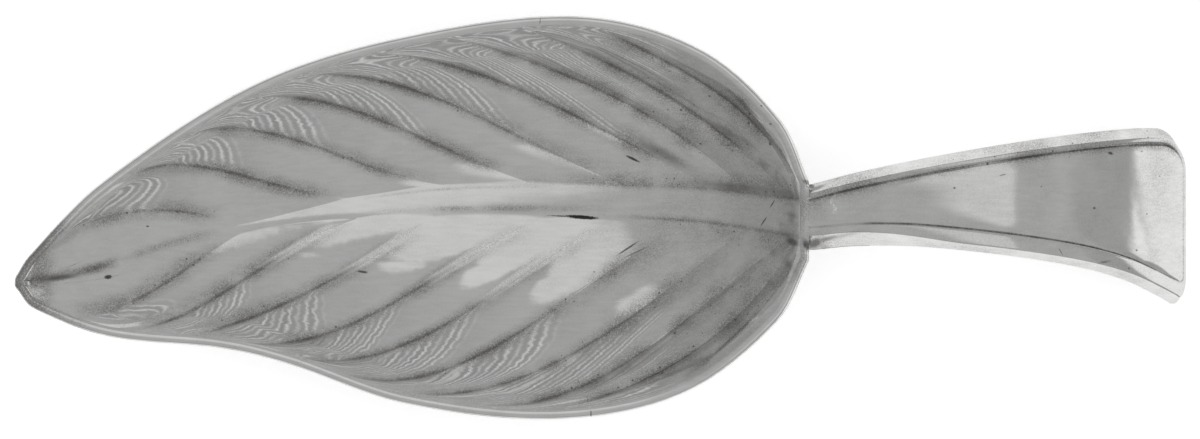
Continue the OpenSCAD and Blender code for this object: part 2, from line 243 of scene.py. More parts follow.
# Section of the filed rim: share of its width from the outside, drop in millimetres
leafRim = [(0.95, 0.105), (0.88, 0.07), (0.8, 0.04), (0.7, 0.016), (0.6, 0.004), (0.52, 0), (0.42, 0),
           (0.34, 0.008), (0.26, 0.026), (0.18, 0.056), (0.11, 0.1), (0.06, 0.15), (0.02, 0.2), (0.004, 0.235)]
# Where along x each part of the leaf's tarnish and painted shade grows from none to full, in millimetres
leafReach = {
    "heel": (-26, -8), "nearTip": (-34, -46), "tip": (-57.4, -59), "upperEdge": (-26, -10),
    "upperLine": (-27, -12), "lowerEdge": (-19, -6), "ribGroove": (-40, -24), "ribGrooveEnd": (-12, -19),
    "fineGroove": (-37, -32), "fineGrooveEnd": (-18, -26), "streak": (-52.5, -54.5), "farStreak": (-45, -48),
    "farStreakEnd": (-53, -51), "besideRight": (-16, -2), "rimTip": (-55, -59), "rimHeel": (-1.2, -0.2),
}

# The leaf's heel is the plane x = 0 of its own frame, and its rim's lowest stretch is z = 0
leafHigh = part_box("leaf_bowl")[1] / mm
home = np.array([leafHigh.x, 0, leafHigh.z - leaf["tipLift"]])


def leafGrid(perLobe, perSide, onRib):
    # Vein numbers along the grid, closer together at each vein, and shares across it from right rim to left
    f = np.linspace(0, 1, perLobe + 1)[:-1]
    f = f - leaf["crowding"] * np.sin(2 * np.pi * f) / (2 * np.pi)
    columns = np.concatenate([k + f for k in range(lastVein)] + [[lastVein]])
    shares = np.linspace(0, 1, perSide + 1)
    side = np.concatenate([-np.ones(perSide + 1), np.zeros(onRib - 1), np.ones(perSide + 1)])
    value = np.concatenate([shares[::-1], 2 * np.arange(1, onRib) / onRib - 1, shares])
    return columns, side, value


def gridShares(columns, side, value):
    # For each point of the grid its vein number, its share across, and whether it is on the left or the midrib
    i, v, half = np.broadcast_arrays(columns[:, None], value[None, :], side[None, :])
    return i, v, half > 0, half == 0


def planPoints(columns, side, value, inset):
    # Points of the grid in plan: along the veins on both sides, and straight across the midrib between them
    i = columns[:, None]
    left = veinPoint(1, i, np.where(side > 0, value, 0), inset)
    right = veinPoint(-1, i, np.where(side < 0, value, 0), inset)
    s = np.where(side == 0, value, 0)[None, :, None]
    rib = ribPoint(-1, i, inset) * (1 - s) / 2 + ribPoint(1, i, inset) * (1 + s) / 2
    pick = side[None, :, None]
    return np.where(pick > 0, left, np.where(pick < 0, right, rib))


def borderOf(rows, columns):
    # Point numbers once round a grid: heel, left rim, tip, right rim
    n = np.arange(rows * columns).reshape(rows, columns)
    return np.concatenate([n[0, :-1], n[:-1, -1], n[-1, :0:-1], n[:0:-1, 0]])


def veinGaps(columns, side, value, p):
    # Distance square to the vein on the heel's side of each point, and to the one on the tip's side
    gaps = []
    heelward = np.floor(np.minimum(columns, lastVein - 1e-6))
    for k in (heelward, heelward + 1):
        vein = planPoints(k, side, value, filedEdge)
        course = np.gradient(vein, axis=1)
        course /= np.linalg.norm(course, axis=-1, keepdims=True) + 1e-9
        off = p - vein
        gaps.append(np.abs(off[..., 0] * course[..., 1] - off[..., 1] * course[..., 0]))
    return gaps


def bump(x, middle, wide):
    # A bell curve, 1 at the middle
    return np.exp(-((x - middle) / wide) ** 2)


def heelShare(y):
    # 1 less a fourth power: 1 in the middle of the handle's root, 0 past its sides
    return np.maximum(0, 1 - (2 * y / leaf["rootWidth"]) ** 4)


def leafTarnishAndShade(columns, side, value, p):
    # Where tarnish has stayed on the upper face, with painted shade over it: bell curves and soft steps of the
    # distance to the veins. Each vein has a thin dark line in its groove, tarnish and painted shade of the groove,
    # and a speckled film beside it that is wider on the heel's side, tarnish and painted shade of the lobe's flank.
    # The line fades out at the rim and where the vein leaves the midrib.
    i, v, left, onRib = gridShares(columns, side, value)
    x = p[..., 0]
    at = {key: smoothStep(*reach, x) for key, reach in leafReach.items()}
    far = 9  # millimetres, for no vein on that side
    past, ahead = veinGaps(columns, side, value, p)
    ahead = np.where(i > lastVein - 1, far, ahead)
    past = np.where(i < 1, far, past)
    firstFrosted, lastFrosted = leaf["frostedVeins"]
    early = left | (i > lastFrosted)
    line = smoothStep(np.where(early, 0.08, 0.2), np.where(early, 0.34, 0.55), v) * smoothStep(1.0, 0.8, v)
    groove = (bump(past, 0, leaf["lineWide"]) + bump(ahead, 0, leaf["lineWide"])) * line
    reachPast = leaf["filmAndShadePast"] * (0.85 + 0.4 * at["heel"] + np.where(left, 0.3, 0.9) * at["nearTip"])
    reachAhead = leaf["filmAndShadeAhead"] * (0.8 + 0.4 * at["heel"]) * smoothStep(1.2, 0.3, v)
    filmAndShade = smoothStep(reachPast, 0, past) + 0.8 * smoothStep(reachAhead, 0, ahead)
    filmAndShade = np.minimum(filmAndShade, 1) * smoothStep(0.02, 0.25, v) * smoothStep(1.0, 0.75, v)
    # The midrib's two edges, its lower groove and a fine upper one
    upperEdge = bump(v, 1, 0.22) * at["upperEdge"]
    lowerEdge = bump(v, -1, 0.2) * at["lowerEdge"]
    ribGroove = bump(v, -0.5, 0.16) * at["ribGroove"] * at["ribGrooveEnd"]
    fineGroove = 0.5 * bump(v, 0.72, 0.08) * at["fineGroove"] * at["fineGrooveEnd"]
    filmAndShade = np.where(onRib, np.minimum(upperEdge + lowerEdge + 0.7 * ribGroove + fineGroove, 1), filmAndShade)
    groove = np.where(onRib, 0.75 * upperEdge * at["upperLine"] + 0.95 * lowerEdge, groove)
    # Streaks along the midrib's course at the tip
    ribMiddle = smoothCurve(ribLine, np.clip(-x / leaf["length"], 0, 1))[..., 0] * halfWidth
    streak = at["streak"] + 0.7 * at["farStreak"] * at["farStreakEnd"]
    streak = streak * bump(p[..., 1], ribMiddle, leaf["streakWide"])
    filmAndShade = np.maximum(filmAndShade, streak)
    groove = np.where(x < leaf["streakFrom"], 0.8 * streak, groove)
    besideRib = np.where(onRib, 0, smoothStep(0.12, 0, v) * np.where(left, at["upperEdge"], at["besideRight"]))
    filmAndShade = np.maximum(filmAndShade, 0.8 * besideRib)
    filmAndShade = np.maximum(filmAndShade, leaf["tipFilm"] * at["tip"])
    # A thin film over everything, thicker toward the heel
    filmAndShade = filmAndShade + (1 - filmAndShade) * (leaf["allOver"] + leaf["heelMore"] * at["heel"])
    # A frosted strip along each right-hand vein, close to the midrib
    strip = smoothStep(0.45, 0.15, np.minimum(past, ahead)) * smoothStep(0.03, 0.1, v) * smoothStep(0.46, 0.3, v)
    frost = np.where(~left & ~onRib & (i > firstFrosted) & (i < lastFrosted), strip, 0)
    filmAndShade = filmAndShade * (1 - 0.9 * frost)
    # Ripples from the hammer, strongest a little inside the rim and on the right half
    outer = smoothStep(0.3, 0.75, v)
    ripple = np.where(onRib, 0.25, np.where(left, 0.3, 0.5) + np.where(left, 0.25, 0.6) * outer)
    return np.minimum(groove, 1), filmAndShade, frost, ripple


def leafPiece():
    # The upper face is the dish plus its relief. The under face lies square to the dish at the sheet's thickness,
    # with every second row and column of the upper one. Rings for the filed rim join the two.
    columns, side, value = leafGrid(leaf["columnsPerLobe"], leaf["rowsPerSide"], leaf["rowsOnRib"])
    p = planPoints(columns, side, value, filedEdge)
    i, v, left, onRib = gridShares(columns, side, value)
    relief = np.where(onRib, ribCrown(i, v), lobeHeight(i, np.where(onRib, 0, v)))
    top = np.concatenate([p, (dishHeight(p) + relief)[..., None]], -1)
    rows, cols = p.shape[:2]
    under = (top - leaf["sheet"] * dishUpright(p))[::2, ::2]
    low = np.minimum(under[..., 2], -leaf["heelFace"] * heelShare(under[..., 1]))
    under[..., 2] = np.where(under[..., 0] > -leaf["length"] / 30, low, under[..., 2])
    # The filed rim, from its inner edge out and over its rounded outer corner. Its outer half stays level where
    # the handle is soldered on.
    border = borderOf(rows, cols)
    innerRing = top.reshape(-1, 3)[border]
    outerPlan = planPoints(columns, side, value, 0).reshape(-1, 2)[border]
    ringX, ringY = outerPlan[:, :1], outerPlan[:, 1:]
    rimZ = rimHeight(ringX)
    heelDeep = np.where(ringX > -filedEdge, leaf["heelFace"] * heelShare(ringY), 0)
    lowest = rimZ - np.maximum(leaf["rimRound"], heelDeep)
    soldered = smoothStep(-0.9, -0.1, ringX) * smoothStep(1.0, 0.85, np.abs(2 * ringY / leaf["rootWidth"]))
    toInner = innerRing[:, :2] - outerPlan
    rings = [innerRing]
    for share, drop in leafRim:
        kept = 1 - soldered * (share < 0.5)
        rings.append(np.concatenate([outerPlan + share * toInner, rimZ - drop * kept], 1))
    rings.append(np.concatenate([outerPlan, lowest], 1))
    underInner = under[1:-1, 1:-1]
    points = [top.reshape(-1, 3), underInner.reshape(-1, 3)] + rings[1:]
    faces = [gridFaces(rows, cols)]
    topCount, ringCount = rows * cols, len(border)
    innerCount = underInner.shape[0] * underInner.shape[1]
    lastRing = topCount + innerCount + (len(rings) - 2) * ringCount
    # The under face's border takes every second point of the lowest ring
    lowNumber = np.full(under.shape[:2], -1)
    lowNumber[1:-1, 1:-1] = topCount + np.arange(innerCount).reshape(underInner.shape[:2])
    lowNumber.ravel()[borderOf(*under.shape[:2])] = lastRing + np.arange(0, ringCount, 2)
    a, b, c, d = lowNumber[:-1, :-1], lowNumber[1:, :-1], lowNumber[1:, 1:], lowNumber[:-1, 1:]
    faces.append(np.stack([a, b, c, d], -1).reshape(-1, 4))
    # Each point of that ring between two of those closes with a thin triangle
    k = np.arange(0, ringCount, 2)
    faces.append(np.stack([lastRing + k, lastRing + (k + 2) % ringCount, lastRing + (k + 1) % ringCount], -1))
    ring = border
    for k in range(1, len(rings)):
        following = topCount + innerCount + (k - 1) * ringCount + np.arange(ringCount)
        faces.append(ringFaces(ring, following)[:, ::-1])
        ring = following
    groove, filmAndShade, frost, ripple = leafTarnishAndShade(columns, side, value, p)
    # On the rim, painted shade darkens its outer corner, and tarnish dulls the tip and the heel all over
    atTip, atHeel = smoothStep(*leafReach["rimTip"], ringX), smoothStep(*leafReach["rimHeel"], ringX)
    ends = np.maximum(atTip, 0.7 * atHeel)[:, 0]

    def spread(values, rest, rim):
        # The values of the upper face's points, one for the under face's, and a value or a row for each ring
        return np.concatenate([values.ravel(), np.full(innerCount, float(rest))] + [r + 0 * ends for r in rim])
    # Painted shade on the outermost rings of the rim, over a thin tarnish film
    rimFilmAndShade = [leaf["allOver"] + 0.9 * ends * smoothStep(1, 0.8, share) + leaf["rimEdgeShade"] * (share < 0.1)
               for share, drop in leafRim]
    onRings = len(leafRim)
    attributes = {"groove": spread(groove, 0, [0.25 * ends] * onRings + [0]),
                  "filmAndShade": spread(filmAndShade, 0.1, [np.minimum(r, 1) for r in rimFilmAndShade] + [0.3]),
                  "frost": spread(frost, 0, [0] * (onRings + 1)),
                  "ripple": spread(ripple, 0.3, [0.2] * (onRings + 1))}
    return makePiece("silverLeafBowl", np.concatenate(points), faces, home, attributes)


# The handle. Sizes in millimetres, the same as the part's own
handle = {
    "length": 29.1, "rootWidth": 5.2, "endWidth": 12.9, "thick": 1.5, "bendRadius": 38, "leftBorder": 0.5,
    "rightBorder": 1.2, "bevel": 0.75, "leftBevel": 0.75, "rightBevel": 0.5, "panelSink": 0.12, "grooveDepth": 0.09,
    "leftCorner": 2.064, "rightCorner": 0.3, "endBorder": 0.25, "endBevel": 0.15,
    "riseAngle": 15,  # at the root, in degrees
    # Forms that differ from the part's: the panel's crown, the right bevel's breadth at the root, the share of
    # the right border that falls to the groove, and the share of the panel's step that is left at the end
    "crown": 0.18, "broadBevel": 0.6, "rightSteep": 0.45, "sinkKept": 0.06,
    "sideSteps": 180, "cornerSteps": 16, "panelSteps": 24, "leftShort": 1.3, "rightShort": 2,  # of the grid
    # Tarnish and painted shade: reach of its line, its film and its shade on the panel, and its strengths, with
    # painted shade on the bevels and the root
    "grooveDark": 0.1, "filmWide": 0.45, "panelFilm": 1.0, "bevelShade": 0.27, "allOver": 0.22, "endFilm": 0.12,
    "rootShade": 0.35, "solderWide": 0.1, "solderHigh": 1.6,
}
# Where along the handle each of these grows from none to full, in millimetres
handleReach = {
    "broad": (13, 3), "flatEnd": (26.5, 29.9), "solderRoot": (-0.3, 2.0), "leftLine": (4, 12), "rightLine": (3.4, 6),
    "lineEnd": (29.95, 28.8), "rightEnd": (28, 29.5), "shadeEnd": (29, 26), "root": (2.4, 0), "endFilm": (26, 28),
    "crownRoot": (0, 2), "crownEnd": (24, 17), "grooveEnd": (handle["length"] + 0.8, handle["length"] - 0.6),
}
bendX = handle["bendRadius"] * math.sin(math.radians(handle["riseAngle"]))
bendZ = -handle["bendRadius"] * math.cos(math.radians(handle["riseAngle"]))
endTurn = math.asin((handle["length"] - bendX) / handle["bendRadius"])
grooveRun = handle["bendRadius"] * (endTurn + math.radians(handle["riseAngle"])) - handle["endBorder"]
flare = (handle["endWidth"] - handle["rootWidth"]) / 7.5
# The edge of the solder on the panel, a pale line whose paleness is a painted highlight: y, and x from the heel
solderEdge = [(0.41, 0.73, 1.25, 1.87), (1.91, 2.01, 1.6, 2.01)]
# The groove on each side: share of its run, distance from the middle line
leftRoot, rightRoot = 0.26 * handle["rootWidth"], -0.15 * handle["rootWidth"]
leftGroove = [(0, leftRoot), (0.125, leftRoot + 0.9 * flare), (0.36, leftRoot + 2.25 * flare),
              (0.637, leftRoot + 3.5 * flare), (0.862, leftRoot + 4.15 * flare), (1, leftRoot + 4.2 * flare)]
rightGroove = [(0, rightRoot), (0.125, 0.6 * rightRoot), (0.31, 0.733 * rightRoot),
               (0.637, rightRoot - 0.9 * flare), (0.833, rightRoot - 2.15 * flare), (1, rightRoot - 4.2 * flare)]


def groovePoint(side, t):
    # The groove's point at share t of its run: the run along, and its curve's distance from the middle across
    t = np.asarray(t, float)
    return np.stack([t * grooveRun, smoothCurve(leftGroove if side > 0 else rightGroove, t)[..., 0]], -1)


def grooveCorner(side, r, steps):
    # An arc of radius r where the side's groove meets the end
    p = groovePoint(side, 1)
    back = groovePoint(side, 1) - groovePoint(side, 0.96)
    back /= np.linalg.norm(back)
    lean = math.atan2(back[1], back[0])
    turn = -math.pi / 2 - lean if side > 0 else math.pi / 2 - lean
    start = p - r * math.tan(abs(turn) / 2) * back
    hub = start + r * np.array([side * back[1], -side * back[0]])
    a = lean + side * math.pi / 2 + turn * steps
    return hub + r * np.stack([np.cos(a), np.sin(a)], -1)


def bentPoint(s, y, n):
    # s along the bend, y across, n out from the bend's radius. The root is cut off square at the heel.
    root = np.arcsin(-bendX / (handle["bendRadius"] + n))
    a = np.maximum(root, s / handle["bendRadius"] - math.radians(handle["riseAngle"]))
    radius = handle["bendRadius"] + n
    return np.stack([bendX + radius * np.sin(a), y + 0 * a, bendZ + radius * np.cos(a)], -1)


def panelEdge():
    # Course of the groove: up the left side, round the end's two arcs, and back down the right side. The first
    # step on each side is tiny, to keep the root crisp.
    sideT = np.concatenate([[0], np.linspace(0.0004, 1, handle["sideSteps"])])
    cornerT = np.linspace(0, 1, handle["cornerSteps"] + 1)
    leftPart = groovePoint(1, sideT * (1 - handle["leftShort"] * handle["leftCorner"] / grooveRun))
    rightPart = groovePoint(-1, sideT[::-1] * (1 - handle["rightShort"] * handle["rightCorner"] / grooveRun))
    return np.concatenate([leftPart, grooveCorner(1, handle["leftCorner"], cornerT),
                           grooveCorner(-1, handle["rightCorner"], cornerT[::-1]), rightPart])


def handleTarnishAndShade(p, inset, run, atLeft, edges):
    # Where tarnish has stayed, from the distance out from the groove and the run along it: a dark line, heavier on
    # the left, and a film beside it that is wide on the left of the panel. The bevels and the root are darkened with
    # painted shade, most in the bevels' corners beside the root.
    at = {key: smoothStep(*reach, run) for key, reach in handleReach.items()}
    heavy = np.where(atLeft, 0.7 + 0.3 * at["leftLine"], at["rightLine"]) * (0.15 + 0.85 * at["lineEnd"])
    heavy = np.where(atLeft, heavy, np.maximum(heavy, 0.8 * at["rightEnd"]))
    onBevel = smoothStep(0, 0.1, inset - edges)
    groove = bump(inset, 0, handle["grooveDark"]) * heavy
    filmAndShade = smoothStep(np.where(atLeft, 1, 0.6) * handle["filmWide"], 0, np.abs(inset)) * heavy
    filmAndShade = np.maximum(filmAndShade, 0.45 * smoothStep(-handle["panelFilm"], 0, inset) * atLeft * at["shadeEnd"])
    # Painted shade over the bevels, darkest in their corners beside the root
    corner = onBevel * smoothStep(np.where(atLeft, 0.9, 1.7), np.where(atLeft, 0.1, 0.5), run)
    groove = np.maximum(groove, 0.75 * corner)
    filmAndShade = np.maximum(filmAndShade, np.maximum(handle["bevelShade"] * onBevel, corner))
    # A thin film all over, painted shade over the root, and a little more film toward the end
    filmAndShade = filmAndShade + handle["allOver"] + handle["rootShade"] * at["root"] + handle["endFilm"] * at["endFilm"]
    # Solder has run out over the panel near the root, and its edge is a crooked line, rough and raised, whose chalky
    # paleness is a painted highlight
    x, y, z = p.T
    solder = bump(x, np.interp(y, *solderEdge), handle["solderWide"])
    solder = handle["solderHigh"] * solder * smoothStep(0.25, 0.4, y) * smoothStep(2.05, 1.9, y) * (z > -0.6)
    return {"groove": groove, "filmAndShade": np.minimum(filmAndShade, 1), "frost": solder, "ripple": np.full(len(p), 0.2)}


def handlePiece():
    # A section of the border and the bevel is carried along the panel's edge. A crowned sheet then closes the
    # panel, a flat one the sole and one face the root, and all of it is bent.
    line = panelEdge()
    g = len(line)
    half = g // 2
    number = np.arange(g)
    along = line[np.minimum(number + 1, g - 1)] - line[np.maximum(number - 1, 0)]
    along /= np.linalg.norm(along, axis=-1, keepdims=True)
    outward = np.stack([-along[:, 1], along[:, 0]], -1)
    isLeft = number < half
    # The right bevel is broad and deep at the root, where it takes most of the border's width
    broad = handle["broadBevel"] * smoothStep(*handleReach["broad"], line[:, 0]) * ~isLeft
    border = np.where(isLeft, handle["leftBorder"], handle["rightBorder"] - broad)
    bevelWide = np.where(isLeft, handle["leftBevel"], handle["rightBevel"] + broad)
    bevel = handle["bevel"] + 0.8 * broad
    deep = handle["grooveDepth"] * smoothStep(*handleReach["grooveEnd"], line[:, 0])
    # The panel comes up to the border's height at the end, and under the solder at the root
    sink = handle["panelSink"] * (1 - (1 - handle["sinkKept"]) * smoothStep(*handleReach["flatEnd"], line[:, 0]))
    sink = sink * smoothStep(*handleReach["solderRoot"], line[:, 0])
    thick = handle["thick"]
    # The section from the panel's edge out: share of the border, share of the bevel, height
    section = [(-0.35, 0, -sink), (-0.2, 0, -sink - 0.15 * deep), (-0.06, 0, -sink - 0.8 * deep),
               (0, 0, -sink - deep), (0.06, 0, -sink - 0.7 * deep), (0.12, 0, -0.75 * sink), (0.2, 0, -0.52 * sink),
               (0.4, 0, -0.07 * sink), (0.5, 0, 0), (0.88, 0, 0), (0.97, 0, -0.015), (1, 0.02, -0.05),
               (1, 0.06, -0.09), (1, 0.5, -0.06 - bevel / 2), (1, 0.96, -0.03 - bevel), (1, 1, -0.1 - bevel),
               (1, 1, 0.05 - (bevel + thick) / 2), (1, 1, 0.15 - thick), (0.95, 1, 0.04 - thick), (0.7, 1, -thick)]
    rings, insets = [], []
    for borderShare, bevelShare, height in section:
        sx = handle["endBorder"] * borderShare + handle["endBevel"] * bevelShare
        steep = np.where(isLeft, 1, handle["rightSteep"]) if 0 < borderShare <= 0.5 else 1
        sy = (np.minimum(border, 0.5) if borderShare < 0 else border * steep) * borderShare + bevelWide * bevelShare
        s = line[:, 0] + sx * outward[:, 0]
        s[0] = s[-1] = -1
        rings.append((s, line[:, 1] + sy * outward[:, 1], height + 0 * s))
        insets.append(borderShare * border + bevelShare * bevelWide)
    points = [bentPoint(s, y, n) for s, y, n in rings]
    faces = []
    for j in range(len(rings) - 1):
        a = j * g + np.arange(g - 1)
        faces.append(np.stack([a, a + 1, a + g + 1, a + g], -1))
    alongs = [np.tile(line[:, 0], len(section))]
    fromLeft = [np.tile(isLeft * 1.0, len(section))]

    def closeAcross(ring, flip, crown, inside):
        # A sheet between the ring's two halves, straight across, plus a crown of 1 less a fourth power
        s, y, n = rings[ring]
        share = np.linspace(0, 1, handle["panelSteps"] + 1)[1:-1]
        leftS, leftY = s[:half, None], y[:half, None]
        rightS, rightY = s[::-1][:half, None], y[::-1][:half, None]
        base = n[:half, None] * (1 - share) + n[::-1][:half, None] * share
        crownHere = crown * smoothStep(*handleReach["crownEnd"], leftS)
        crownHere = crownHere * smoothStep(*handleReach["crownRoot"], leftS)
        inner = bentPoint(leftS + (rightS - leftS) * share, leftY + (rightY - leftY) * share,
                          base + crownHere * (1 - (2 * share - 1) ** 4))[:-1]
        first = sum(len(part) for part in points)
        points.append(inner.reshape(-1, 3))
        # How far inside the groove each of its points is, and how far along
        width = np.abs(leftY - rightY) + 0 * share
        fromEdge = np.minimum(share * width, (1 - share) * width)
        fromLeft.append((np.where(share < 0.5, 1.0, 0.0) + 0 * width)[:-1])
        insets.append((-fromEdge - inside)[:-1])
        alongs.append((leftS + (rightS - leftS) * share)[:-1])
        middle = first + np.arange((half - 1) * len(share)).reshape(half - 1, len(share))
        k = ring * g
        numbers = np.concatenate([(k + np.arange(half - 1))[:, None], middle,
                                  (k + g - 1 - np.arange(half - 1))[:, None]], 1)
        a, b, c, d = numbers[:-1, :-1], numbers[1:, :-1], numbers[1:, 1:], numbers[:-1, 1:]
        quads = np.stack([a, d, c, b], -1).reshape(-1, 4)
        faces.append(quads[:, ::-1] if flip else quads)
        # The narrow strip along the end is one face
        strip = np.concatenate([numbers[-1, ::-1], [k + half - 1, k + half]])[None, :]
        faces.append(strip if flip else strip[:, ::-1])
        return numbers

    far = 9  # millimetres inside, where no tarnish of the groove reaches
    panel = closeAcross(0, False, handle["crown"], 0.3)
    sole = closeAcross(len(rings) - 1, True, 0, far)
    leftEnds = np.arange(len(rings)) * g
    rootLoop = np.concatenate([panel[0, ::-1], leftEnds[1:], sole[0, 1:], leftEnds[1:-1][::-1] + g - 1])
    faces.append(rootLoop[None, :])
    p = np.concatenate(points)
    inset, run, atLeft = (np.concatenate([a.ravel() for a in each]) for each in (insets, alongs, fromLeft))
    edges = np.concatenate([np.tile(border, len(section)), np.full(len(p) - len(rings) * g, far)])
    return makePiece("silverHandle", p, faces, home, handleTarnishAndShade(p, inset, run, atLeft > 0.5, edges))


bowlPiece = leafPiece()
handleShape = handlePiece()
print("bowl and handle shaped", len(bowlPiece.data.polygons), len(handleShape.data.polygons))


def linear(hexColour):
    # sRGB hex to linear RGBA
    c = np.array([int(hexColour[k:k + 2], 16) for k in (1, 3, 5)]) / 255
    c = np.where(c <= 0.04045, c / 12.92, ((c + 0.055) / 1.055) ** 2.4)
    return (*c.tolist(), 1)


def addNode(tree, kind, settings=None, **links):
    # Adds a node, sets its properties, and fills or links its inputs by name, or by number as i0, i1 ...
    node = tree.nodes.new(kind)
    for key, value in (settings or {}).items():
        setattr(node, key, value)
    for key, value in links.items():
        numbered = key[0] == "i" and key[1:].isdigit()
        socket = node.inputs[int(key[1:]) if numbered else key.replace("_", " ")]
        if isinstance(value, bpy.types.Node):
            value = value.outputs[0]
        if isinstance(value, bpy.types.NodeSocket):
            tree.links.new(value, socket)
        else:
            socket.default_value = value
    return node


# Settings that many nodes share
times, timesPlus, plus, minus, most, sine = ({"operation": word} for word in (
    "MULTIPLY", "MULTIPLY_ADD", "ADD", "SUBTRACT", "MAXIMUM", "SINE"))
soft = {"interpolation_type": "SMOOTHSTEP"}
blendLevel, blendColour = {"data_type": "FLOAT"}, {"data_type": "RGBA"}

# Sterling silver, raised by hand over a stake and polished: neutral and bright, with a slightly uneven mirror.
# Tarnish, a grey sulphide film, stays where the cloth does not reach, and the same grey also paints shade beside the
# veins, on the rim's outer corner and on the handle's bevels and root. Lengths in millimetres.
silver = {
    "polished": "#EDEDEC", "filmAndShade": "#A8A7A5", "tarnishAndShade": "#807E7C", "pitAndShadow": "#3C3A39", "roughness": 0.05,
    "filmRough": 0.13, "grainEvery": 0.11, "patchEvery": 3.0, "speckEvery": 0.52, "speckReach": 0.14,
    "rippleEvery": 1.1, "rippleHigh": 0.009, "brushEvery": 0.3, "brushHigh": 0.0015, "frostHigh": 0.03,
    "chalk": 0.45, "wiped": 0.06,  # strength of the dried polish, and of the streaks in the film
}

# Pits, scratches and stains on the leaf, and painted shadow in the corners beside the handle's root: x, y, turn in
# degrees, half length, half width, in millimetres, depth
leafMarksAndShadows = [
    (-1.5, 0.04, -4, 1.35, 0.15, 1), (-2.9, 0.12, -3, 1.2, 0.06, 0.8), (2.44, 4.55, -26, 0.6, 0.1, 0.9),
    (2.05, -2.36, 33, 0.95, 0.08, 0.8), (2.67, -2.67, 25, 1.0, 0.06, 0.6), (-18.38, -4.17, -8, 0.46, 0.1, 0.8),
    (-37.9, -4.55, 5, 0.3, 0.17, 0.9), (13.16, 1.06, 58, 0.36, 0.04, 0.9), (12.5, -0.29, 56, 0.45, 0.045, 0.9),
    (-0.79, -15.1, 90, 0.3, 0.04, 0.9), (-4.7, 15.1, 85, 0.22, 0.035, 0.7), (-34.9, -0.66, 0, 0.12, 0.07, 0.8),
    (11.4, 8.0, 0, 0.1, 0.09, 0.7), (12.3, 8.6, 0, 0.09, 0.08, 0.7), (13.0, 7.2, 0, 0.1, 0.08, 0.7),
    (14.65, 0.1, 90, 0.6, 0.3, 0.35), (14.4, -3.6, -50, 1.3, 0.3, 0.2), (14.7, -1.85, -30, 0.5, 0.3, 0.65),
    (10.6, 2.35, -6, 3.5, 0.3, 0.35), (4.9, 4.9, -28, 2.1, 0.45, 0.45), (-41.5, -4.6, 8, 1.2, 0.22, 0.6),
    (15.75, 2.75, -30, 0.35, 0.2, 0.6), (15.8, -2.1, -60, 0.55, 0.3, 0.7),
]
# The same on the handle, with painted shadow in the dark corners beside its root
handleMarksAndShadows = [
    (27.1, 2.29, 0, 0.1, 0.08, 0.8), (39.16, 4.97, -10, 0.22, 0.12, 0.8), (37.9, 0.75, 0, 0.1, 0.08, 0.8),
    (30.8, 3.28, 12, 0.3, 0.05, 0.7), (35.3, -2.6, -60, 0.35, 0.04, 0.7), (42.0, 0.3, 0, 0.07, 0.06, 0.7),
    (41.2, -2.5, 0, 0.1, 0.08, 0.7), (43.0, 3.2, 0, 0.06, 0.06, 0.6), (16.5, 2.25, 22, 0.9, 0.16, 0.6),
    (18.6, -1.35, 12, 1.6, 0.2, 0.35), (16.4, -1.95, 20, 0.6, 0.4, 0.75), (17.4, -1.6, 14, 1.1, 0.18, 0.55),
    (16.15, 2.4, -30, 0.35, 0.2, 0.7), (38.7, -3.4, 10, 0.5, 0.1, 0.5),
    (33.8, 2.4, 40, 0.08, 0.06, 0.6), (40.6, -3.9, 0, 0.09, 0.08, 0.6), (41.6, 5.1, 0, 0.09, 0.06, 0.6),
]


